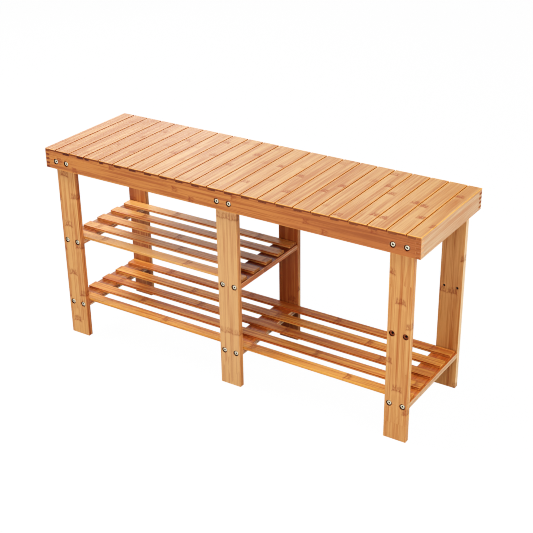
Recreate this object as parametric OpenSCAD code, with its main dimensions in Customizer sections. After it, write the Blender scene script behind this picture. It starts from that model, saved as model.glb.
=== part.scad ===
// Slatted bamboo entryway bench with a full shoe shelf below and a half shelf above it.
// X runs along the bench, Y from front to back and Z up. The origin is on the floor, under
// the middle of the seat. The half shelf is at the -X end.

/* [Seat] */
// Length of the seat
seat_l = 900; // [860:10:980]
// Depth of the seat from front to back
seat_w = 272; // [240:2:340]
// Height of the seat's top above the floor
seat_h = 455; // [400:5:520]
// Width of the first and the last strip, which are narrower than the others
end_strip_w = 30; // [28:1:36]
// Gap between two seat slats
seat_gap = 2.75; // [1:0.25:3]
// Thickness of a seat slat between the rails
seat_slat_t = 8; // [7:0.5:10]
// Thickness of the slat's lip, which lies on top of the rails
lip_t = 2; // [1.5:0.25:3]
// How far the lip overhangs the front and back rails
lip_overhang = 0.5; // [0:0.25:2]
// Width of the tongue under the lip, let into a notch in the rail
tongue_w = 19; // [14:0.5:20]
// Width of the narrow tongues near the -X end
narrow_tongue_w = 12; // [8:0.5:14]
// Height of the tongue
tongue_h = 5; // [3:0.5:5]

/* [Apron] */
// Height of the rails, below the lip
rail_h = 42; // [36:1:60]
// Thickness of the front and back rails
rail_t = 12; // [11:0.5:16]
// Thickness of the end rails
end_rail_t = 11; // [9:0.5:11]
// Fingers of a corner's box joint, counted on both rails together
finger_count = 9; // [5:2:11]

/* [Legs] */
// Width of a leg's face
leg_w = 49; // [44:1:56]
// Thickness of a leg
leg_t = 12; // [10:0.5:16]
// Distance from the seat's end to the outer edge of an end leg
leg_inset = 18; // [14:1:40]
// Distance of the middle legs' centre from the seat's middle
middle_leg_x = 16.5; // [-40:0.5:40]

/* [Shelves] */
// Height of the lower crossbars' centre
lower_bar_z = 80.5; // [60:0.5:140]
// Height of the upper crossbars' centre
upper_bar_z = 237; // [200:0.5:300]
// Width of a crossbar
bar_w = 48; // [38:1:48]
// Thickness of a crossbar
bar_t = 12; // [10:0.5:16]
// Width of a shelf slat
shelf_slat_w = 25; // [18:0.5:30]
// Thickness of a shelf slat
shelf_slat_t = 6; // [4:0.5:10]
// Distance from the leg's inner face to the front or back slat
shelf_margin = 2; // [1:0.5:6]
// How far the slats' ends stay back from the legs' outer edge
shelf_inset = 3; // [0:0.5:10]

/* [Fasteners] */
// Distance between the two screws of a pair
screw_spacing = 29; // [24:0.5:30]
// Distance from the seat's top down to the screws that hold the rails to the legs
rail_screw_drop = 27; // [19:0.5:29]
// Diameter of a screw's shank
shank_d = 5; // [4:0.25:6]
// Diameter of a screw's head
head_d = 10.5; // [8.5:0.25:12]
// Height of a screw's head at its rounded edge
head_h = 2.2; // [2:0.1:2.6]
// Width across flats of the hexagon socket
socket_af = 4; // [3:0.5:5]
// Diameter of the recess that takes the head
recess_d = 13; // [12.5:0.5:15]
// Depth of that recess
recess_depth = 3.8; // [3.4:0.1:4.2]
// Length of a rail screw below its head
rail_screw_l = 18; // [14:0.5:18]
// Length of a shelf screw below its head
shelf_screw_l = 35; // [25:1:45]

/* [Hidden] */
round_fn = 48;
// How far a cutting shape runs past the surface that it cuts
over = 1;
// Free length in front of a screw's tip
tip_room = 1;
tip_l = 3;
shank_clearance = 0.4;
socket_depth = 2;
dome_h = 0.6;
head_edge = 1;
leg_top_gap = 1;

seat_slat_count = 23;
shelf_slat_count = 5;
strip_pitch = (seat_l - 2 * end_strip_w) / (seat_slat_count - 2);
// Strips, counted from the -X end, whose tongues are at their right edge, and the narrow ones
right_tongue_strips = [1, 2];
narrow_tongue_strips = [3, 4];

rail_top = seat_h - lip_t;
rail_bottom = rail_top - rail_h;
rail_face_y = seat_w / 2 - lip_overhang;
leg_face_y = rail_face_y - rail_t;
leg_inner_y = leg_face_y - leg_t;
slat_bottom = seat_h - seat_slat_t;
leg_h = slat_bottom - leg_top_gap;
rail_screw_z = seat_h - rail_screw_drop;
end_rail_inner_x = seat_l / 2 - end_rail_t;
leg_edge_x = seat_l / 2 - leg_inset;
end_leg_x = leg_edge_x - leg_w / 2;
leg_xs = [-end_leg_x, middle_leg_x, end_leg_x];
upper_leg_xs = [-end_leg_x, middle_leg_x];
finger_h = rail_h / finger_count;
hole_d = shank_d + shank_clearance;
pilot_depth = shelf_screw_l - (leg_t - recess_depth) + tip_room;
rail_pilot_depth = rail_screw_l - (rail_t - recess_depth) + tip_room;
shelf_slat_pitch = (2 * (leg_inner_y - shelf_margin) - shelf_slat_w) / (shelf_slat_count - 1);
lower_slat_z = lower_bar_z + bar_t / 2;
upper_slat_z = upper_bar_z + bar_t / 2;
shelf_end_x = leg_edge_x - shelf_inset;
upper_shelf_end_x = middle_leg_x + leg_w / 2 - shelf_inset;

seat_color = "#e3b183";
apron_color = "#c67c3f";
leg_color = "#d19a5b";
bar_color = "#cd8e52";
shelf_color = "#c98a57";
steel_color = "#c4c6c8";

function two_digits(n) = n < 10 ? str("0", n) : str(n);
function seat_slat_name(k) = str("seat_slat_", two_digits(k + 1));
function shelf_slat_name(shelf, k) = str(shelf, "_shelf_slat_", k + 1);

// Edges of seat strip k, where strip 0 is the first one at the -X end
function strip_left(k) = k == 0 ? -seat_l / 2 : -seat_l / 2 + end_strip_w + (k - 1) * strip_pitch;
function strip_right(k) = k == seat_slat_count - 1 ? seat_l / 2 : strip_left(k + 1);
function slat_left(k) = strip_left(k) + (k == 0 ? 0 : seat_gap / 2);
function slat_right(k) = strip_right(k) - (k == seat_slat_count - 1 ? 0 : seat_gap / 2);

// The tongue ends where the corner joint starts, so the last one is a little narrower
function is_in(k, list) = len([for (i = list) if (i == k) i]) > 0;
function tongue_room(k) = min(tongue_w, end_rail_inner_x - slat_left(k));
function tongue_width(k) = is_in(k, narrow_tongue_strips) ? narrow_tongue_w : tongue_room(k);
function tongue_left(k) =
    is_in(k, right_tongue_strips) ? slat_right(k) - tongue_width(k) : slat_left(k);

// A box between two corners
module box(low, high) {
    translate(low) cube(high - low);
}

// What is placed at the front, and what is turned half round for the back
module at_side(side) {
    if (side == "front") children();
    else mirror([0, 1, 0]) children();
}

// Centres of a pair of screws at height z, on a board whose middle is at x
module screw_pair(x, z) {
    for (dx = [-screw_spacing / 2, screw_spacing / 2]) translate([x + dx, 0, z]) children();
}

// A round bar from y_start to y_end along Y
module y_bar(d, y_start, y_end) {
    translate([0, y_end, 0]) rotate([90, 0, 0])
        cylinder(d = d, h = y_end - y_start, $fn = round_fn);
}

// A recessed hole through the board whose outer face is at y and whose thickness is t
module recessed_hole(y, t) {
    y_bar(recess_d, y - over, y + recess_depth);
    y_bar(hole_d, y, y + t + over);
}

// The notches for the slats' tongues in the top edge of a front or back rail
module tongue_notches() {
    for (k = [1 : seat_slat_count - 1])
        translate([tongue_left(k), -rail_face_y - over, rail_top - tongue_h])
            cube([tongue_width(k), rail_t + 2 * over, tongue_h + over]);
}

// Underside of finger i of a corner joint, counted from the top. The end rails have the even ones.
function finger_z(i) = rail_top - (i + 1) * finger_h;

// The slots that a front or back rail has at one end for the end rail's fingers
module rail_end_slots() {
    for (i = [0 : 2 : finger_count - 1]) {
        below = i == finger_count - 1 ? over : 0;
        above = i == 0 ? over : 0;
        box([end_rail_inner_x, -rail_face_y - over, finger_z(i) - below],
            [seat_l / 2 + over, -leg_face_y + over, finger_z(i) + finger_h + above]);
    }
}

module long_rail(side) {
    color(apron_color) at_side(side) difference() {
        box([-seat_l / 2, -rail_face_y, rail_bottom], [seat_l / 2, -leg_face_y, rail_top]);
        tongue_notches();
        rail_end_slots();
        mirror([1, 0, 0]) rail_end_slots();
        for (x = leg_xs) screw_pair(x, rail_screw_z) recessed_hole(-rail_face_y, rail_t);
    }
}

module end_rail() {
    color(apron_color) {
        box([end_rail_inner_x, -leg_face_y, rail_bottom], [seat_l / 2, leg_face_y, rail_top]);
        for (side = ["front", "back"]) at_side(side)
            for (i = [0 : 2 : finger_count - 1])
                translate([end_rail_inner_x, -rail_face_y, finger_z(i)])
                    cube([end_rail_t, rail_t, finger_h]);
    }
}

module left_end_rail() {
    mirror([1, 0, 0]) end_rail();
}

// A slat lies on the rails with its lip, and is full thickness between them
module seat_slat(k) {
    color(seat_color) {
        box([slat_left(k), -seat_w / 2, rail_top], [slat_right(k), seat_w / 2, seat_h]);
        box([max(slat_left(k), -end_rail_inner_x), -leg_face_y, slat_bottom],
            [min(slat_right(k), end_rail_inner_x), leg_face_y, rail_top]);
        if (k > 0)
            box([tongue_left(k), -rail_face_y, rail_top - tongue_h],
                [tongue_left(k) + tongue_width(k), rail_face_y, rail_top]);
    }
}

// All six legs have the same holes, so the end legs at +X keep two unused upper ones
module leg(side, x) {
    color(leg_color) at_side(side) difference() {
        box([x - leg_w / 2, -leg_face_y, 0], [x + leg_w / 2, -leg_inner_y, leg_h]);
        for (z = [lower_bar_z, upper_bar_z]) screw_pair(x, z) recessed_hole(-leg_face_y, leg_t);
        screw_pair(x, rail_screw_z)
            y_bar(hole_d, -leg_face_y - over, -leg_face_y + rail_pilot_depth);
    }
}

// A crossbar runs from a front leg to the back leg, with two pilot holes in each end
module crossbar(x, z) {
    color(bar_color) difference() {
        box([x - bar_w / 2, -leg_inner_y, z - bar_t / 2], [x + bar_w / 2, leg_inner_y, z + bar_t / 2]);
        for (side = ["front", "back"]) at_side(side) screw_pair(x, z)
            y_bar(hole_d, -leg_inner_y - over, -leg_inner_y + pilot_depth);
    }
}

// Shelf slat k, where slat 0 is the front one
module shelf_slat(k, right_end_x, z) {
    y = (k - (shelf_slat_count - 1) / 2) * shelf_slat_pitch;
    color(shelf_color)
        box([-shelf_end_x, y - shelf_slat_w / 2, z],
            [right_end_x, y + shelf_slat_w / 2, z + shelf_slat_t]);
}

// A screw along +Y, with its head's underside at y = 0 and a hexagon socket in the head
module screw(l) {
    color(steel_color) rotate([-90, 0, 0]) difference() {
        rotate_extrude($fn = round_fn) polygon([
            [0, -head_h - dome_h],
            [head_d / 2 - head_edge, -head_h],
            [head_d / 2, -head_h + head_edge],
            [head_d / 2, 0],
            [shank_d / 2, 0],
            [shank_d / 2, l - tip_l],
            [0, l]
        ]);
        translate([0, 0, -head_h - dome_h - over])
            cylinder(d = socket_af / cos(30), h = socket_depth + over, $fn = 6);
    }
}

// Pairs of screws at each leg in xs, on both sides, in recesses of the face at face_y
module screws(xs, z, face_y, l) {
    for (side = ["front", "back"]) at_side(side)
        for (x = xs) screw_pair(x, z) translate([0, recess_depth - face_y, 0]) screw(l);
}

for (k = [0 : seat_slat_count - 1])
    seat_slat(k);
long_rail("front");  // front_rail
long_rail("back");  // back_rail
left_end_rail();
end_rail();  // right_end_rail
leg("front", leg_xs[0]);  // front_left_leg
leg("front", leg_xs[1]);  // front_middle_leg
leg("front", leg_xs[2]);  // front_right_leg
leg("back", leg_xs[0]);  // back_left_leg
leg("back", leg_xs[1]);  // back_middle_leg
leg("back", leg_xs[2]);  // back_right_leg
crossbar(leg_xs[0], lower_bar_z);  // lower_left_crossbar
crossbar(leg_xs[1], lower_bar_z);  // lower_middle_crossbar
crossbar(leg_xs[2], lower_bar_z);  // lower_right_crossbar
crossbar(leg_xs[0], upper_bar_z);  // upper_left_crossbar
crossbar(leg_xs[1], upper_bar_z);  // upper_middle_crossbar
for (k = [0 : shelf_slat_count - 1]) {
    shelf_slat(k, shelf_end_x, lower_slat_z);
    shelf_slat(k, upper_shelf_end_x, upper_slat_z);
}
screws(leg_xs, rail_screw_z, rail_face_y, rail_screw_l);  // rail_screws
screws(leg_xs, lower_bar_z, leg_face_y, shelf_screw_l);  // lower_shelf_screws
screws(upper_leg_xs, upper_bar_z, leg_face_y, shelf_screw_l);  // upper_shelf_screws
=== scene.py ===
import math
import random

import bpy
from mathutils import Matrix, Vector


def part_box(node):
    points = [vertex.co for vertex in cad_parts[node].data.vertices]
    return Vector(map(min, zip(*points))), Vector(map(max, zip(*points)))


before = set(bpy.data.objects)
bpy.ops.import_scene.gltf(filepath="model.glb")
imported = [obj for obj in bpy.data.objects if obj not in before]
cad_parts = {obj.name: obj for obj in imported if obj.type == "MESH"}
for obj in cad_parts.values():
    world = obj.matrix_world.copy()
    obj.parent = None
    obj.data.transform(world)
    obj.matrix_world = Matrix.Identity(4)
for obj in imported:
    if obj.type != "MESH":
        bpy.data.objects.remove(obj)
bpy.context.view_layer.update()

# Slatted bamboo entryway bench: rounded edges, bamboo and steel materials, studio and camera around
# the CAD frame. Everything is in metres, with X along the bench, Y from front to back and Z up.

MM = 0.001
X, Y, Z = 0, 1, 2


def srgb(code, factors=(1.0, 1.0, 1.0)):
    """The linear colour of a hexadecimal sRGB code, with each channel times its own factor."""
    parts = [int(code[i:i + 2], 16) / 255 for i in (1, 3, 5)]
    linear = [c / 12.92 if c <= 0.04045 else ((c + 0.055) / 1.055) ** 2.4 for c in parts]
    return (*[min(1.0, c * f) for c, f in zip(linear, factors)], 1.0)


# ---------------------------------------------------------------- pieces

SEAT_SLAT_COUNT = 23
SHELF_SLAT_COUNT = 5
SEAT_SLATS = [f"seat_slat_{n:02d}" for n in range(1, SEAT_SLAT_COUNT + 1)]
LONG_RAILS = ["front_rail", "back_rail"]
END_RAILS = ["left_end_rail", "right_end_rail"]
LEGS = [f"{side}_{place}_leg" for side in ("front", "back") for place in ("left", "middle", "right")]
CROSSBARS = [f"lower_{place}_crossbar" for place in ("left", "middle", "right")]
CROSSBARS += [f"upper_{place}_crossbar" for place in ("left", "middle")]
LOWER_SLATS = [f"lower_shelf_slat_{n}" for n in range(1, SHELF_SLAT_COUNT + 1)]
UPPER_SLATS = [f"upper_shelf_slat_{n}" for n in range(1, SHELF_SLAT_COUNT + 1)]
SCREWS = ["rail_screws", "lower_shelf_screws", "upper_shelf_screws"]

# Radius of each family's rounded edges, and the number of segments in it
SEAT_EDGE = (0.7 * MM, 3)
RAIL_EDGE = (0.35 * MM, 2)
LEG_EDGE = (0.7 * MM, 3)
CROSSBAR_EDGE = (0.7 * MM, 3)
SHELF_EDGE = (1.2 * MM, 4)
SCREW_EDGE = (0.15 * MM, 2)

WELD_DISTANCE = 0.01 * MM
FLAT_ANGLE = math.radians(1)
SHARP_ANGLE = math.radians(40)

# ---------------------------------------------------------------- colours

LIGHT_FIBRE = (1.28, 1.62, 2.00)     # factors on a wood's own colour, for red, green and blue
DARK_FIBRE = (0.60, 0.38, 0.24)
SIDE_SHADE_TINT = (0.45, 0.06, 0.0, 1.0)   # colours that multiply what lies under them; the first is painted shade
FAR_TINT = (0.58, 0.32, 0.36, 1.0)
PALE_COLOUR = srgb("#f0d8b4")
PORE_COLOUR = srgb("#8a4a22")
GLUE_COLOUR = srgb("#a5683a")
KNUCKLE_COLOUR = srgb("#853c1c")
# Painted highlight along the rounded edges
EDGE_HIGHLIGHT_COLOUR = srgb("#f4a848")
# Painted shade on the walls and bottoms of the holes
BORE_WALL_SHADE = srgb("#160904")
BORE_BOTTOM_SHADE = srgb("#8a4628")
SEAM_COLOUR = srgb("#6a2a0c")
TONGUE_COLOUR = srgb("#481404")
END_DARK = srgb("#5a1e08")
END_LIGHT = srgb("#9a4a1c")
END_BARE = srgb("#c87a3c")
END_PALE = srgb("#e6ac7c")

STEEL_BRIGHT = srgb("#fff8e0")
STEEL_DULL = srgb("#d8c690")
# Painted shade for the steel in the recess
STEEL_SHADE = srgb("#16100c")

# ---------------------------------------------------------------- bamboo, as it is everywhere

# Noise drawn out along the grain: length and width of a fibre, then detail and roughness of the noise
DRIFT = (150 * MM, 30 * MM, 2.0, 0.5)
BROAD = (260 * MM, 5 * MM, 2.0, 0.5)
STREAKS = (110 * MM, 1.7 * MM, 3.0, 0.6)
FINE = (26 * MM, 0.6 * MM, 2.0, 0.6)
PORES = (10 * MM, 0.5 * MM, 1.0, 0.5)
WOBBLE = (60 * MM, 3 * MM, 3.0, 0.6)
DASHES = (7 * MM, 1.8 * MM, 2.0, 0.6)
END_DOTS = (0.8 * MM, 2.0, 0.6)      # size of the cut fibre bundles, then the same two
STRIP_SHIFT = 40.0                   # how far the noise of one strip may be from the next one's

# Fades: the value at which each starts, and the one at which it is full
FIBRE_FADE = (0.28, 0.72)
PORE_FADE = (0.64, 0.76)
DASH_FADE = (0.42, 0.56)
DOT_FADE = (0.35, 0.7)
GLUE_LINE = (1.0 * MM, 0.3 * MM)     # distance from a strip's edge
EDGE_HIGHLIGHT_DEPTHS = (1.2 * MM, 0.4 * MM)     # the two smaller depths below a board's box, added, for the painted edge highlight
BORE_DEPTH = (0.7 * MM, 1.2 * MM)    # the smallest of them
TONGUE_DEPTH = (1.8 * MM, 2.2 * MM)  # distance below a board's top
SEAM_DEPTH = (2.9 * MM, 2.1 * MM)
LIT_RIM_HEIGHT = (4.4 * MM, 3.2 * MM)    # height above a shelf slat's underside, for the painted bounce light
FAR_REACH = (0.0, 360 * MM)          # place along the grain

# Fades by a face's normal, along the axis that the face is square to
END_FACE = (0.6, 0.85)
SIDE_FACE = (0.6, 0.9)
FLAT_FACE = (0.7, 0.95)
BORE_BOTTOM_FACE = (0.6, 0.9)
PLUS_SIDE_FACE = (0.05, 0.35)        # toward + on that axis, with the rounded edges beside it
MINUS_SIDE_FACE = (-0.6, -0.9)       # toward - on that axis

# Knuckles: each has a ragged line, a mottled zone on one side of it and a pale halo on the other
KNUCKLE_WOBBLE = 8 * MM
KNUCKLE_BOW = 10 * MM
KNUCKLE_LINE = (2.2 * MM, 0.5 * MM)
ZONE_FROM_LINE = 5 * MM
KNUCKLE_ZONE = (10 * MM, 3 * MM)
KNUCKLE_SIDES = (0.5, 0.36)          # place over the strip, with 0 in its middle
HALO_FROM_LINE = 7 * MM
KNUCKLE_HALO = (7 * MM, 1 * MM)
DASH_SHARE = 0.85                    # how much of the zone's strength is in its dashes
LINE_SHARE = 0.5                     # strength of the line, added to the zone's
HALO_LIGHT = 0.15

# How much each kind of fibre changes the shade, and how strongly pores, glue and knuckles are coloured
DRIFT_SHADE = 0.7
BROAD_SHADE = 0.7
STREAK_SHADE = 0.75
FINE_SHADE = 0.6
PORE_AMOUNT = 0.2
GLUE_AMOUNT = 0.5
KNUCKLE_AMOUNT = 0.8

# Lacquer: gloss is the reflection of the wood itself, with a thin clear coat in proportion to it
GLOSS = 0.35
COAT_PER_GLOSS = 1 / 3
COAT_ROUGHNESS = 0.28
ROUGHNESS = 0.33
STREAK_ROUGHNESS = 0.08
KNUCKLE_ROUGHNESS = 0.15
END_ROUGHNESS = 0.2

# Height of the bump: the fibres go up and down, glue lines and pores are sunk, knuckles stand out
BUMP = 0.12 * MM
FINE_HEIGHT = 0.5
STREAK_HEIGHT = 0.4
SUNK_HEIGHT = 0.4
KNUCKLE_HEIGHT = 0.6

# ---------------------------------------------------------------- bamboo, board by board

# What a board gives to its material, and the usual values. Amounts run from 0 to 1 unless they say
# otherwise.
LOOKS = {
    "tone": 0.5,            # from the dark fibre colour to the light one, before the fibres change it
    "far_red": 0.0,         # darker and redder toward the end at +X, +Y or +Z
    "contrast": 0.45,       # difference in tone between strips
    "figure": 1.0,          # strength of the fibres, where more than 1 is stronger
    "pale": 0.0,            # bleaching of the whole board
    "side_light": 0.0,       # painted light on the side faces, and painted shade where it is below 0
    "streak_sheen": 0.0,    # painted sheen on the lightest fibres
    "sides": 0.5,           # painted shade on the side faces, in the gaps between boards and away from the lamps
    "flats": 0.0,           # painted shade on the wide faces
    "flat_shade_tint": (0.36, 0.12, 0.02),  # the colour that it multiplies them by
    "lit_rim": 0.0,             # lower part of the side faces left out of the painted shade, as painted bounce light
    "edge_highlight": 0.2,            # painted highlight on the edges
    "end": 0.6,             # dark end grain
    "end_bare": 0.0,        # end grain with no dark lacquer in it
    "bare_colour": END_BARE[:3],      # the colour of such end grain
    "tongue": 0.0,          # darker tongues at the ends
    "bore_shade": 0.0,           # painted shade in the holes
    "seam": 0.0,            # dark line along the top edge
    "pitch": 190 * MM,      # distance between knuckles
    "marks": (0.8, 0.8, 0.8),  # strength of the knuckles on the first, second and further strips
}
STRIPS_WITH_OWN_KNUCKLES = 3

# Chance differences between boards
SEED_RANGE = 50
TONE_SPREAD = 0.12

# Looks of the seat's slats that change evenly from its left end to its right end
SEAT_RAMPS = {
    "contrast": (0.6, 0.35),
    "figure": (1.9, 1.1),
    "end": (1.0, 0.9),
    "end_bare": (0.0, 0.3),
    "tongue": (0.95, 0.4),
    # painted highlight along the edges, strongest at the right
    "edge_highlight": (0.5, 0.9),
    # painted shade in the gaps between the slats, darkest at the left
    "sides": (1.0, 0.5),
}
SEAT_TONE = (0.40, 0.56)
SEAT_DARK_PART = 0.35        # the share of the seat, at its left, that gets darker toward the end
SEAT_DARKENING = 0.7
FAINT_MARKS = (0.3, 0.5)     # knuckles placed by chance
CLEAR_MARKS = (0.5, 1.2)     # those in SEAT_KNUCKLES

# The clearest knuckles of the seat: slat number, and where along each of its two strips in millimetres
SEAT_KNUCKLES = {
    4: (-40, 24), 5: (76, -60), 7: (57, -20), 9: (90, 12), 11: (-17, 60), 13: (-77, 30), 15: (5, -80),
    17: (-38, 1), 19: (110, 49), 20: (16, -90), 21: (-94, 0), 22: (-7, -59), 23: (70, -85),
}

# Tone of each shelf slat, and painted shade on the wide faces of each lower one, from the front to the back
LOWER_TONES = [0.7, 0.4, 0.0, 1.0, 0.2]
LOWER_FLAT_SHADES = [0.0, 0.08, 0.2, 0.0, 0.12]
UPPER_TONES = [1.05, 0.95, 1.2, 1.05, 0.7]

# ---------------------------------------------------------------- steel

SCREW_SHADE_DEPTH = (1.4 * MM, 1.9 * MM)     # depth below the board's face, for the painted shade
TURNING_MARKS = (2500.0, 300.0, 900.0)      # number per metre, along X, Y and Z
DULL_SPOTS = (420.0, 420.0, 420.0)
STEEL_DETAIL = (3.0, 0.6)                   # detail and roughness of the noise
SPOT_FADE = (0.45, 0.75)
STEEL_ROUGHNESS = 0.38
STEEL_ROUGHNESS_SPREAD = 0.16
STEEL_METALLIC = 0.3
SHADE_LESS_METALLIC = 0.2
STEEL_BUMP = 0.02 * MM

# ---------------------------------------------------------------- studio and camera

FLOOR_HALF = 60.0            # from its middle to its edge
PAPER_GREY = 0.3
PAPER_GLOW = 1.06
PAPER_GLOW_SHARE = 0.92      # how much of the floor's look to the camera is the glow
WORLD_LIGHT = 0.15
WORLD_SEEN = 1.0             # what the camera sees of it

SOFTBOX_SIZE = 1.2
SOFTBOX_TARGET = (0.0, 0.0, 0.3)
# Place and power of each softbox
SOFTBOXES = {
    "left_softbox": ((-1.9, -0.4, 2.0), 83),
    "right_softbox": ((2.0, -0.3, 2.0), 46),
    "right_low_softbox": ((2.6, -0.3, 0.7), 12),
    "front_softbox": ((0.6, -2.6, 0.95), 43),
    "top_softbox": ((0.0, 0.3, 2.4), 7),
    "back_left_softbox": ((-1.4, 2.4, 1.6), 5),
    "back_left_low_softbox": ((-2.3, 2.2, 1.1), 8),
}

FILM_CONTRAST = 1.25
FILM_SHOULDER = 1.0
FILM_STEPS = 12
COMBINED_CURVE = 3           # the one for all three channels, after those for red, green and blue
PIXEL_FILTER = 1.1           # width in pixels

CAMERA_AZIMUTH = math.radians(33.11)
CAMERA_ELEVATION = math.radians(26.30)
CAMERA_ROLL = math.radians(-0.82)
CAMERA_TARGET = Vector((0.0316, -0.0011, 0.2342))
CAMERA_DISTANCE = 2.4195
FOCAL_LENGTH = 76.5          # in millimetres, as is the next one
SENSOR_WIDTH = 36.0


# ---------------------------------------------------------------- edges

def smooth_group():
    """A node group for a modifier that marks every face as smooth, so rounded edges shade as round."""
    group = bpy.data.node_groups.new("smooth_faces", "GeometryNodeTree")
    group.interface.new_socket("Geometry", in_out="INPUT", socket_type="NodeSocketGeometry")
    group.interface.new_socket("Geometry", in_out="OUTPUT", socket_type="NodeSocketGeometry")
    start = group.nodes.new("NodeGroupInput")
    smooth = group.nodes.new("GeometryNodeSetShadeSmooth")
    end = group.nodes.new("NodeGroupOutput")
    group.links.new(start.outputs[0], smooth.inputs["Geometry"])
    group.links.new(smooth.outputs[0], end.inputs[0])
    return group


SMOOTH_FACES = smooth_group()


def round_edges(piece, radius, segments):
    """Rounds the sharp edges of a CAD node with modifiers, which leave its own mesh as it is."""
    weld = piece.modifiers.new("weld", "WELD")
    weld.merge_threshold = WELD_DISTANCE
    flat = piece.modifiers.new("join_flat_faces", "DECIMATE")
    flat.decimate_type = "DISSOLVE"
    flat.angle_limit = FLAT_ANGLE
    smooth = piece.modifiers.new("smooth_faces", "NODES")
    smooth.node_group = SMOOTH_FACES
    bevel = piece.modifiers.new("round_edges", "BEVEL")
    bevel.width = radius
    bevel.segments = segments
    bevel.limit_method = "ANGLE"
    bevel.angle_limit = SHARP_ANGLE
    normals = piece.modifiers.new("flat_faces_stay_flat", "WEIGHTED_NORMAL")
    normals.keep_sharp = False


# ---------------------------------------------------------------- material nodes

class Graph:
    """A material's node tree, with a short method for each kind of node used here."""

    def __init__(self, name):
        self.material = bpy.data.materials.new(name)
        self.material.use_nodes = True
        self.tree = self.material.node_tree
        self.tree.nodes.clear()

    def put(self, kind, inputs, **settings):
        """Adds a node. Each input is a socket to link or a value, by order or by name."""
        node = self.tree.nodes.new(kind)
        for key, value in settings.items():
            setattr(node, key, value)
        for key, value in (inputs.items() if isinstance(inputs, dict) else enumerate(inputs)):
            if isinstance(value, bpy.types.NodeSocket):
                self.tree.links.new(value, node.inputs[key])
            else:
                node.inputs[key].default_value = value
        return node

    def math(self, operation, *values, clamp=False):
        return self.put("ShaderNodeMath", values, operation=operation, use_clamp=clamp).outputs[0]

    def product(self, first, *others):
        for other in others:
            first = self.math("MULTIPLY", first, other)
        return first

    def vector(self, operation, *values):
        return self.put("ShaderNodeVectorMath", values, operation=operation).outputs[0]

    def scale(self, vector, factor):
        return self.put("ShaderNodeVectorMath", {0: vector, "Scale": factor}, operation="SCALE").outputs[0]

    def split(self, vector):
        return self.put("ShaderNodeSeparateXYZ", [vector]).outputs

    def join(self, x, y, z):
        return self.put("ShaderNodeCombineXYZ", [x, y, z]).outputs[0]

    def of_object(self, name, output="Fac"):
        """A custom property of the object that wears the material."""
        node = self.put("ShaderNodeAttribute", [], attribute_type="OBJECT", attribute_name=name)
        return node.outputs[output]

    def for_strip(self, name, number):
        """The x, y or z of a board's own vector, for its first strip, its second and all further ones."""
        first, second, third = self.split(self.of_object(name, "Vector"))
        is_first = self.math("LESS_THAN", number, 0.5)
        is_third = self.math("GREATER_THAN", number, 1.5)
        value = self.math("MULTIPLY_ADD", is_first, self.math("SUBTRACT", first, second), second)
        return self.math("MULTIPLY_ADD", is_third, self.math("SUBTRACT", third, second), value)

    def fade(self, value, start, end):
        """0 at start and 1 at end, with a smooth change between; start may be the larger one."""
        inputs = [value, start, end, 0.0, 1.0]
        return self.put("ShaderNodeMapRange", inputs, interpolation_type="SMOOTHSTEP").outputs[0]

    def fade_size(self, value, start, end):
        """The same for a value's distance from 0."""
        return self.fade(self.math("ABSOLUTE", value), start, end)

    def vary(self, value, noise, amount):
        """The value, moved up where the noise is above its mean and down where it is below."""
        return self.math("ADD", value, self.math("MULTIPLY", self.math("SUBTRACT", noise, 0.5), amount))

    def noise(self, vector, detail, roughness):
        inputs = {"Vector": vector, "Scale": 1.0, "Detail": detail, "Roughness": roughness}
        return self.put("ShaderNodeTexNoise", inputs).outputs["Fac"]

    def random(self, vector):
        return self.put("ShaderNodeTexWhiteNoise", {"Vector": vector}, noise_dimensions="3D").outputs

    def mix(self, amount, first, second, blend="MIX"):
        inputs = {0: amount, 6: first, 7: second}
        return self.put("ShaderNodeMix", inputs, data_type="RGBA", blend_type=blend).outputs[2]

    def finish(self, inputs, height, bump_distance):
        """The shader itself, with a bump from height (0 to 1) and every constant on its own socket."""
        bump = self.put("ShaderNodeBump", {"Strength": 1.0, "Distance": bump_distance, "Height": height})
        shader = self.put("ShaderNodeBsdfPrincipled", {**inputs, "Normal": bump.outputs[0]})
        self.put("ShaderNodeOutputMaterial", {"Surface": shader.outputs[0]})
        return self.material


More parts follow.
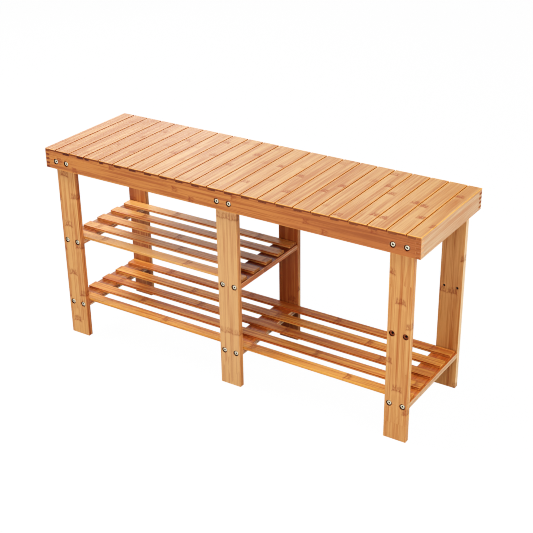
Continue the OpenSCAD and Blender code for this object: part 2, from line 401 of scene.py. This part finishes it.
class Bamboo(Graph):
    """Laminated bamboo: strips side by side and in layers, each with its own shade, fibres and knuckles.

    grain, across and thick are the axes along the fibres, over the strips and through the layers.
    Each board gives the rest in its own properties, which LOOKS lists.
    """

    def __init__(self, name, grain, across, thick, strip_width, layer_thickness):
        super().__init__(name)
        self.grain = grain
        self.across = across
        self.thick = thick
        self.place = self.put("ShaderNodeTexCoord", []).outputs["Object"]
        self.at = self.split(self.place)
        self.normal = self.split(self.put("ShaderNodeNewGeometry", []).outputs["Normal"])
        self.low = self.of_object("low", "Vector")
        self.high = self.of_object("high", "Vector")
        self.below_top = self.math("SUBTRACT", self.split(self.high)[Z], self.at[Z])
        self.end_face = self.fade_size(self.normal[grain], *END_FACE)
        self.lay_strips(strip_width, layer_thickness)
        self.lay_fibres()
        self.lay_knuckles()

    def lay_strips(self, strip_width, layer_thickness):
        """Which strip and layer a point is in, and how far it is from the strip's edges."""
        from_low = self.split(self.vector("SUBTRACT", self.place, self.low))
        strip = self.math("DIVIDE", from_low[self.across], strip_width)
        strip = self.math("ADD", strip, self.of_object("cut"))
        layer = self.math("DIVIDE", from_low[self.thick], layer_thickness)
        self.number = self.math("FLOOR", strip)
        self.over_strip = self.math("SUBTRACT", self.math("FRACT", strip), 0.5)
        over_layer = self.math("SUBTRACT", self.math("FRACT", layer), 0.5)
        cell = self.join(self.number, self.math("FLOOR", layer), self.of_object("seed"))
        self.cell_colour = self.random(cell)["Color"]
        strip_edge = self.from_edge(self.over_strip, strip_width)
        layer_edge = self.from_edge(over_layer, layer_thickness)
        self.glue_line = self.fade(self.math("MINIMUM", strip_edge, layer_edge), *GLUE_LINE)

    def from_edge(self, over, width):
        """Distance from the nearer edge, where over runs from -0.5 at one edge to 0.5 at the other."""
        return self.math("MULTIPLY", self.math("SUBTRACT", 0.5, self.math("ABSOLUTE", over)), width)

    def fibre_noise(self, length, width, detail, roughness):
        """Noise drawn out along the grain, with its own place on each strip."""
        scales = [1 / width] * 3
        scales[self.grain] = 1 / length
        drawn_out = self.vector("MULTIPLY", self.place, tuple(scales))
        return self.noise(self.vector("ADD", drawn_out, self.shift), detail, roughness)

    def lay_fibres(self):
        """Fibres of several sizes, from a slow drift over the board to its fine pores."""
        self.shift = self.scale(self.cell_colour, STRIP_SHIFT)
        self.drift = self.fibre_noise(*DRIFT)
        self.broad = self.fade(self.fibre_noise(*BROAD), *FIBRE_FADE)
        self.streaks = self.fade(self.fibre_noise(*STREAKS), *FIBRE_FADE)
        self.fine = self.fibre_noise(*FINE)
        self.pores = self.fade(self.fibre_noise(*PORES), *PORE_FADE)

    def from_knuckle(self):
        """Distance along the grain from the strip's nearest knuckle, which wobbles and bows a little."""
        pitch = self.of_object("pitch")
        wobble = self.vary(0.0, self.fibre_noise(*WOBBLE), KNUCKLE_WOBBLE)
        bow = self.product(self.over_strip, self.over_strip, KNUCKLE_BOW)
        along = self.math("SUBTRACT", self.at[self.grain], self.for_strip("knuckles", self.number))
        along = self.math("ADD", self.math("ADD", along, wobble), bow)
        turns = self.math("ADD", self.math("DIVIDE", along, pitch), 0.5)
        return self.math("MULTIPLY", self.math("SUBTRACT", self.math("FRACT", turns), 0.5), pitch)

    def lay_knuckles(self):
        """Knuckles at even distances along each strip, and the pale halo beside each."""
        distance = self.from_knuckle()
        line = self.fade_size(distance, *KNUCKLE_LINE)
        zone = self.fade_size(self.math("SUBTRACT", distance, ZONE_FROM_LINE), *KNUCKLE_ZONE)
        halo = self.fade_size(self.math("ADD", distance, HALO_FROM_LINE), *KNUCKLE_HALO)
        inner = self.fade_size(self.over_strip, *KNUCKLE_SIDES)
        dashes = self.fade(self.fibre_noise(*DASHES), *DASH_FADE)
        mottling = self.math("MULTIPLY_ADD", dashes, DASH_SHARE, 1 - DASH_SHARE)
        knuckle = self.math("MULTIPLY_ADD", line, LINE_SHARE, self.product(zone, inner, mottling))
        strength = self.for_strip("marks", self.number)
        self.knuckle = self.math("MULTIPLY", knuckle, strength, clamp=True)
        self.halo = self.product(halo, strength, HALO_LIGHT)

    def grained(self, colour_code):
        """The wood's colour, as it changes with the board, the strip and the fibres."""
        chance = self.split(self.cell_colour)[Z]
        shade = self.vary(self.of_object("tone"), chance, self.of_object("contrast"))
        shade = self.math("ADD", self.vary(shade, self.drift, DRIFT_SHADE), self.halo)
        figure = self.vary(0.0, self.broad, BROAD_SHADE)
        figure = self.vary(figure, self.streaks, STREAK_SHADE)
        figure = self.vary(figure, self.fine, FINE_SHADE)
        shade = self.math("MULTIPLY_ADD", figure, self.of_object("figure"), shade, clamp=True)
        colour = self.mix(shade, srgb(colour_code, DARK_FIBRE), srgb(colour_code, LIGHT_FIBRE))
        far = self.product(self.fade(self.at[self.grain], *FAR_REACH), self.of_object("far_red"))
        colour = self.mix(far, colour, FAR_TINT, "MULTIPLY")
        colour = self.mix(self.paleness_and_painted_light(), colour, PALE_COLOUR)
        colour = self.mix(self.product(self.pores, PORE_AMOUNT), colour, PORE_COLOUR)
        colour = self.mix(self.product(self.glue_line, GLUE_AMOUNT), colour, GLUE_COLOUR)
        return self.mix(self.product(self.knuckle, KNUCKLE_AMOUNT), colour, KNUCKLE_COLOUR)

    def paleness_and_painted_light(self):
        """Bleaching of the whole board, painted light on its side faces and a painted sheen on its lightest
        fibres.
        """
        side = self.fade_size(self.normal[self.across], *SIDE_FACE)
        lightest = self.product(self.broad, self.streaks)
        pale = self.math("MULTIPLY_ADD", side, self.of_object("side_light"), self.of_object("pale"))
        return self.math("MULTIPLY_ADD", lightest, self.of_object("streak_sheen"), pale)

    def end_grained(self, colour):
        """End grain, with the cut fibre bundles as dots, and darker still on the tongues under the seat."""
        dot_size, detail, roughness = END_DOTS
        dots = self.noise(self.scale(self.place, 1 / dot_size), detail, roughness)
        end_colour = self.mix(self.fade(dots, *DOT_FADE), END_DARK, END_LIGHT)
        bare = self.of_object("bare_colour", "Vector")
        end_colour = self.mix(self.of_object("end_bare"), end_colour, bare)
        colour = self.mix(self.product(self.end_face, self.of_object("end")), colour, end_colour)
        tongue = self.product(self.fade(self.below_top, *TONGUE_DEPTH), self.of_object("tongue"))
        return self.mix(self.product(self.end_face, tongue), colour, TONGUE_COLOUR)

    def depths(self):
        """Depth below the board's own box in each direction, which is 0 or nearly so on its outside."""
        from_low = self.vector("SUBTRACT", self.place, self.low)
        from_high = self.vector("SUBTRACT", self.high, self.place)
        return self.split(self.vector("MINIMUM", from_low, from_high))

    def over_all(self, operation, values):
        """The sum, the largest or the smallest of three values, as the operation says."""
        first, second, third = values
        return self.math(operation, self.math(operation, first, second), third)

    def highlighted_edges(self, colour, depths):
        """Painted highlight along the edges, where two of the three depths are small."""
        total = self.over_all("ADD", depths)
        smaller_two = self.math("SUBTRACT", total, self.over_all("MAXIMUM", depths))
        edge_highlight = self.product(self.fade(smaller_two, *EDGE_HIGHLIGHT_DEPTHS), self.of_object("edge_highlight"))
        return self.mix(edge_highlight, colour, EDGE_HIGHLIGHT_COLOUR)

    def shaded_faces(self, colour):
        """Painted shade on the wide faces, and on the side faces but for a rim at the bottom, which keeps
        the wood's own colour as painted bounce light.
        """
        plus_side = self.fade(self.normal[self.across], *PLUS_SIDE_FACE)
        minus_side = self.fade(self.normal[self.across], *MINUS_SIDE_FACE)
        above = self.math("SUBTRACT", self.at[self.thick], self.split(self.low)[self.thick])
        lit_rim = self.product(self.fade(above, *LIT_RIM_HEIGHT), self.of_object("lit_rim"))
        side = self.product(self.math("MAXIMUM", plus_side, minus_side), self.math("SUBTRACT", 1.0, lit_rim))
        flat = self.fade_size(self.normal[self.thick], *FLAT_FACE)
        flat_shade_tint = self.of_object("flat_shade_tint", "Vector")
        colour = self.mix(self.product(side, self.of_object("sides")), colour, SIDE_SHADE_TINT, "MULTIPLY")
        return self.mix(self.product(flat, self.of_object("flats")), colour, flat_shade_tint, "MULTIPLY")

    def shaded_bores(self, colour, depths):
        """Painted shade on the walls and bottoms of the holes, where all three depths are large."""
        inside = self.fade(self.over_all("MINIMUM", depths), *BORE_DEPTH)
        bore = self.product(inside, self.of_object("bore_shade"))
        bottom = self.fade_size(self.normal[self.thick], *BORE_BOTTOM_FACE)
        return self.mix(bore, colour, self.mix(bottom, BORE_WALL_SHADE, BORE_BOTTOM_SHADE))

    def seamed(self, colour):
        """A dark line just below a rail's top edge."""
        seam = self.product(self.fade(self.below_top, *SEAM_DEPTH), self.of_object("seam"))
        return self.mix(seam, colour, SEAM_COLOUR)

    def lacquered(self, colour, gloss):
        """The finished material, a little rougher on streaks, knuckles and end grain."""
        roughness = self.math("MULTIPLY_ADD", self.streaks, STREAK_ROUGHNESS, ROUGHNESS)
        roughness = self.math("MULTIPLY_ADD", self.knuckle, KNUCKLE_ROUGHNESS, roughness)
        roughness = self.math("MULTIPLY_ADD", self.end_face, END_ROUGHNESS, roughness, clamp=True)
        height = self.vary(self.vary(0.5, self.fine, FINE_HEIGHT), self.streaks, STREAK_HEIGHT)
        sunk = self.product(self.math("ADD", self.glue_line, self.pores), SUNK_HEIGHT)
        height = self.math("SUBTRACT", height, sunk)
        height = self.math("MULTIPLY_ADD", self.knuckle, KNUCKLE_HEIGHT, height)
        inputs = {
            "Base Color": colour,
            "Roughness": roughness,
            "Specular IOR Level": gloss,
            "Coat Weight": gloss * COAT_PER_GLOSS,
            "Coat Roughness": COAT_ROUGHNESS,
        }
        return self.finish(inputs, height, BUMP)


def bamboo(name, grain, across, thick, colour_code, strip_width, layer_thickness, gloss=GLOSS):
    """The bamboo material of one family of boards."""
    wood = Bamboo(name, grain, across, thick, strip_width, layer_thickness)
    depths = wood.depths()
    colour = wood.grained(colour_code)
    colour = wood.end_grained(colour)
    colour = wood.highlighted_edges(colour, depths)
    colour = wood.shaded_faces(colour)
    colour = wood.shaded_bores(colour, depths)
    colour = wood.seamed(colour)
    return wood.lacquered(colour, gloss)


def steel(name):
    """Zinc-plated steel, with fine turning marks and small dull spots, and painted shade where it lies
    below the board's face.
    """
    graph = Graph(name)
    place = graph.put("ShaderNodeTexCoord", []).outputs["Object"]
    depth = graph.math("SUBTRACT", graph.of_object("face"), graph.math("ABSOLUTE", graph.split(place)[Y]))
    recess_shade = graph.fade(depth, *SCREW_SHADE_DEPTH)
    brushed = graph.noise(graph.vector("MULTIPLY", place, TURNING_MARKS), *STEEL_DETAIL)
    dull = graph.fade(graph.noise(graph.vector("MULTIPLY", place, DULL_SPOTS), *STEEL_DETAIL), *SPOT_FADE)
    colour = graph.mix(recess_shade, graph.mix(dull, STEEL_BRIGHT, STEEL_DULL), STEEL_SHADE)
    spread = graph.math("MULTIPLY", graph.math("ADD", brushed, dull), STEEL_ROUGHNESS_SPREAD)
    metallic = graph.math("SUBTRACT", STEEL_METALLIC, graph.math("MULTIPLY", recess_shade, SHADE_LESS_METALLIC))
    inputs = {
        "Base Color": colour,
        "Metallic": metallic,
        "Roughness": graph.math("ADD", STEEL_ROUGHNESS, spread),
    }
    return graph.finish(inputs, brushed, STEEL_BUMP)


# ---------------------------------------------------------------- dressing the pieces

def dress(piece, material, edge, looks):
    """Gives a piece its material and its own looks, and rounds its edges."""
    for slot in piece.material_slots:
        slot.material = material
    low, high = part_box(piece.name)
    piece["low"] = list(low)
    piece["high"] = list(high)
    for key, value in looks.items():
        piece[key] = list(value) if isinstance(value, tuple) else float(value)
    round_edges(piece, *edge)


def dress_boards(names, material, edge, looks, own=None):
    """Dresses each board of a family, with its own looks where they are given and chance ones elsewhere."""
    for name in names:
        chance = random.Random(name)
        board_looks = dict(LOOKS)
        board_looks["seed"] = chance.uniform(0, SEED_RANGE)
        board_looks["cut"] = chance.random()
        board_looks["tone"] += chance.uniform(-TONE_SPREAD, TONE_SPREAD)
        board_looks["knuckles"] = tuple(
            chance.uniform(0, LOOKS["pitch"]) for strip in range(STRIPS_WITH_OWN_KNUCKLES)
        )
        board_looks.update(looks)
        board_looks.update((own or {}).get(name, {}))
        dress(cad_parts[name], material, edge, board_looks)


def ramp(ends, along):
    """The value at a place where 0 is at the first of the two ends and 1 at the second."""
    first, second = ends
    return first + (second - first) * along


def on_all_strips(value):
    """The same value for a board's first, second and further strips."""
    return (value,) * STRIPS_WITH_OWN_KNUCKLES


def seat_slat_looks(number):
    """The looks of a seat slat, which go by how far along the seat it is."""
    along = number / SEAT_SLAT_COUNT
    looks = {key: ramp(ends, along) for key, ends in SEAT_RAMPS.items()}
    looks["tone"] = ramp(SEAT_TONE, along) - SEAT_DARKENING * max(0.0, SEAT_DARK_PART - along)
    looks["marks"] = on_all_strips(ramp(FAINT_MARKS, along))
    if number in SEAT_KNUCKLES:
        left, right = SEAT_KNUCKLES[number]
        looks["knuckles"] = (left * MM, right * MM, right * MM)
        looks["marks"] = on_all_strips(ramp(CLEAR_MARKS, along))
    return looks


def dress_seat():
    wood = bamboo("seat_bamboo_wood", Y, X, Z, "#ba8754", strip_width=19 * MM, layer_thickness=4 * MM)
    own = {name: seat_slat_looks(number) for number, name in enumerate(SEAT_SLATS, 1)}
    own[SEAT_SLATS[-1]].update({"sides": 0.0, "figure": 0.8, "contrast": 0.2})
    dress_boards(SEAT_SLATS, wood, SEAT_EDGE, {"cut": 0.0, "pitch": 235 * MM}, own)


def dress_long_rails():
    wood = bamboo("rail_bamboo_wood", X, Z, Y, "#be6b2e", strip_width=14 * MM, layer_thickness=6 * MM)
    # The screw holes get painted shade
    looks = {"cut": 0.0, "bore_shade": 1.0, "seam": 0.9, "contrast": 0.7, "figure": 2.1, "pitch": 310 * MM}
    own = {
        "front_rail": {
            "tone": 0.55, "far_red": 0.7, "end": 1.0, "end_bare": 0.9, "bare_colour": END_PALE[:3],
            "knuckles": (-64 * MM, -105 * MM, 40 * MM),
        },
    }
    dress_boards(LONG_RAILS, wood, RAIL_EDGE, looks, own)


def dress_end_rails():
    wood = bamboo("end_rail_bamboo_wood", Y, Z, X, "#ffbf90", strip_width=25 * MM, layer_thickness=5.5 * MM)
    looks = {"cut": 0.32, "end": 1.0, "pale": 0.15, "sides": 0.0}
    own = {
        "right_end_rail": {
            "end_bare": 0.3, "tone": 0.55, "contrast": 0.2, "figure": 0.8, "marks": on_all_strips(0.0),
        },
    }
    dress_boards(END_RAILS, wood, RAIL_EDGE, looks, own)


def dress_legs():
    wood = bamboo("leg_bamboo_wood", Z, X, Y, "#dc9554", strip_width=24 * MM, layer_thickness=6 * MM)
    # Painted shade on the side faces of the front legs and on the wide faces of the back legs under the
    # seat, and painted light on some side faces
    own = {
        "front_left_leg": {
            "tone": 0.7, "sides": 0.5, "cut": 0.71, "pitch": 120 * MM,
            "knuckles": (94 * MM, 34 * MM, 104 * MM),
        },
        "front_middle_leg": {
            "tone": 0.9, "pale": 0.2, "side_light": -0.2, "sides": 0.35, "contrast": 0.15,
            "pitch": 263 * MM, "knuckles": on_all_strips(127 * MM), "marks": on_all_strips(0.6),
        },
        "front_right_leg": {
            "tone": 0.52, "sides": 0.0, "side_light": 0.05, "cut": 0.42, "contrast": 0.15, "figure": 0.9,
            "pitch": 191 * MM, "knuckles": (173 * MM, 114 * MM, 65 * MM),
        },
        "back_left_leg": {"tone": 0.1, "flats": 0.5, "sides": 0.0, "figure": 1.4},
        "back_middle_leg": {"tone": 0.1, "flats": 0.65, "sides": 0.0, "figure": 1.7},
        "back_right_leg": {
            "tone": 0.85, "flats": 0.1, "sides": 0.0, "side_light": 0.5, "cut": 0.3, "pitch": 300 * MM,
            "knuckles": (224 * MM, 224 * MM, 301 * MM),
        },
    }
    dress_boards(LEGS, wood, LEG_EDGE, {"bore_shade": 1.0, "figure": 1.3}, own)


def dress_crossbars():
    wood = bamboo("crossbar_bamboo_wood", Y, X, Z, "#ffb481", strip_width=24 * MM, layer_thickness=4 * MM)
    # Painted shade on the crossbars' wide faces, where they lie between and under the slats
    looks = {"sides": 0.0, "flats": 0.9, "flat_shade_tint": (0.75, 0.3, 0.04), "figure": 1.3}
    own = {
        "upper_middle_crossbar": {"tone": 0.0, "flat_shade_tint": (0.36, 0.08, 0.0)},
        "upper_left_crossbar": {"tone": 0.3, "flat_shade_tint": (0.5, 0.3, 0.12)},
        "lower_left_crossbar": {"tone": 0.4, "flat_shade_tint": (0.5, 0.3, 0.12)},
        "lower_right_crossbar": {"tone": 0.65, "side_light": 0.2},
    }
    dress_boards(CROSSBARS, wood, CROSSBAR_EDGE, looks, own)


def dress_shelf(slats, material_name, gloss, looks, own):
    """Dresses the slats of one shelf; the front one has no painted shade on its side faces."""
    wood = bamboo(
        material_name, X, Y, Z, "#f08d35", strip_width=25 * MM, layer_thickness=3 * MM, gloss=gloss
    )
    own[slats[0]]["sides"] = 0.0
    dress_boards(slats, wood, SHELF_EDGE, looks, own)


def dress_shelves():
    # Painted shade on the slats' side faces but for a lower rim, and a painted sheen on their lightest
    # fibres
    looks = {"cut": 0.0, "sides": 0.85, "lit_rim": 0.9, "contrast": 0.7, "figure": 1.9, "pitch": 230 * MM}
    lower_looks = {**looks, "streak_sheen": 0.1}
    upper_looks = {**looks, "pale": 0.04, "streak_sheen": 0.4}
    lower = zip(LOWER_SLATS, LOWER_TONES, LOWER_FLAT_SHADES)
    lower_own = {name: {"tone": tone, "flats": flats} for name, tone, flats in lower}
    upper_own = {name: {"tone": tone} for name, tone in zip(UPPER_SLATS, UPPER_TONES)}
    dress_shelf(LOWER_SLATS, "lower_shelf_bamboo_wood", 0.15, lower_looks, lower_own)
    dress_shelf(UPPER_SLATS, "upper_shelf_bamboo_wood", 0.28, upper_looks, upper_own)


def dress_screws():
    """The steel has painted shade below the face of the board that each screw is sunk in."""
    metal = steel("screw_steel_metal")
    for name in SCREWS:
        holder = "front_rail" if name == "rail_screws" else "front_left_leg"
        face_y = abs(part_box(holder)[0].y)
        dress(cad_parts[name], metal, SCREW_EDGE, {"face": face_y})


# ---------------------------------------------------------------- studio

def floor():
    """A plain floor that the camera sees as near white, and that lights the bench as grey paper would.

    It can't be seen from below, so that a view from there shows the underside of the bench.
    """
    corners = [(x * FLOOR_HALF, y * FLOOR_HALF, 0) for x, y in ((-1, -1), (1, -1), (1, 1), (-1, 1))]
    mesh = bpy.data.meshes.new("studio_floor")
    mesh.from_pydata(corners, [], [(0, 1, 2, 3)])
    ground = bpy.data.objects.new("studio_floor", mesh)
    bpy.context.scene.collection.objects.link(ground)
    graph = Graph("studio_paper")
    paper = graph.put("ShaderNodeBsdfDiffuse", {"Color": (PAPER_GREY, PAPER_GREY, PAPER_GREY, 1.0)})
    glow = graph.put("ShaderNodeEmission", {"Color": (1.0, 1.0, 1.0, 1.0), "Strength": PAPER_GLOW})
    seen = graph.put("ShaderNodeLightPath", []).outputs["Is Camera Ray"]
    amount = graph.math("MULTIPLY", seen, PAPER_GLOW_SHARE)
    surface = graph.put("ShaderNodeMixShader", [amount, paper.outputs[0], glow.outputs[0]])
    nothing = graph.put("ShaderNodeBsdfTransparent", [])
    from_below = graph.put("ShaderNodeNewGeometry", []).outputs["Backfacing"]
    surface = graph.put("ShaderNodeMixShader", [from_below, surface.outputs[0], nothing.outputs[0]])
    graph.put("ShaderNodeOutputMaterial", {"Surface": surface.outputs[0]})
    mesh.materials.append(graph.material)


def softbox(name, place, energy):
    """A square area light at place that faces the bench."""
    lamp = bpy.data.lights.new(name, "AREA")
    lamp.shape = "RECTANGLE"
    lamp.size = SOFTBOX_SIZE
    lamp.size_y = SOFTBOX_SIZE
    lamp.energy = energy
    box = bpy.data.objects.new(name, lamp)
    bpy.context.scene.collection.objects.link(box)
    box.location = place
    box.rotation_euler = (Vector(SOFTBOX_TARGET) - Vector(place)).to_track_quat("-Z", "Y").to_euler()


def surroundings():
    """Dim grey light from all round, which the camera itself sees as the same near white as the floor."""
    world = bpy.data.worlds.new("studio_world")
    world.use_nodes = True
    background = world.node_tree.nodes["Background"]
    background.inputs["Color"].default_value = (1.0, 1.0, 1.0, 1.0)
    seen = world.node_tree.nodes.new("ShaderNodeLightPath")
    strength = world.node_tree.nodes.new("ShaderNodeMapRange")
    strength.inputs["To Min"].default_value = WORLD_LIGHT
    strength.inputs["To Max"].default_value = WORLD_SEEN
    world.node_tree.links.new(seen.outputs["Is Camera Ray"], strength.inputs["Value"])
    world.node_tree.links.new(strength.outputs["Result"], background.inputs["Strength"])
    bpy.context.scene.world = world


def film(level):
    """What the film curve makes of a brightness between 0 and 1."""
    raised = level ** FILM_CONTRAST
    return (1 + FILM_SHOULDER) * raised / (raised + FILM_SHOULDER)


def tone_curve(settings):
    """A gentle film curve: a little more contrast in the shadows, and a soft shoulder in the lights."""
    settings.view_transform = "Standard"
    settings.use_curve_mapping = True
    curve = settings.curve_mapping.curves[COMBINED_CURVE]
    for step in range(1, FILM_STEPS):
        level = (step / FILM_STEPS) ** 2
        curve.points.new(level, film(level))
    settings.curve_mapping.update()


def studio():
    floor()
    for name, (place, energy) in SOFTBOXES.items():
        softbox(name, place, energy)
    surroundings()
    tone_curve(bpy.context.scene.view_settings)
    bpy.context.scene.cycles.filter_width = PIXEL_FILTER


def camera():
    """A long lens that looks down on the bench's front and right end."""
    back = Vector((
        math.sin(CAMERA_AZIMUTH) * math.cos(CAMERA_ELEVATION),
        -math.cos(CAMERA_AZIMUTH) * math.cos(CAMERA_ELEVATION),
        math.sin(CAMERA_ELEVATION),
    ))
    level_right = (-back).cross(Vector((0, 0, 1))).normalized()
    level_up = level_right.cross(-back)
    right = math.cos(CAMERA_ROLL) * level_right + math.sin(CAMERA_ROLL) * level_up
    up = math.cos(CAMERA_ROLL) * level_up - math.sin(CAMERA_ROLL) * level_right
    lens = bpy.data.cameras.new("camera")
    lens.lens = FOCAL_LENGTH
    lens.sensor_width = SENSOR_WIDTH
    view = bpy.data.objects.new("camera", lens)
    bpy.context.scene.collection.objects.link(view)
    turn = Matrix((right, up, back)).transposed().to_4x4()
    view.matrix_world = Matrix.Translation(CAMERA_TARGET + CAMERA_DISTANCE * back) @ turn
    bpy.context.scene.camera = view


dress_seat()
dress_long_rails()
dress_end_rails()
dress_legs()
dress_crossbars()
dress_shelves()
dress_screws()
studio()
camera()
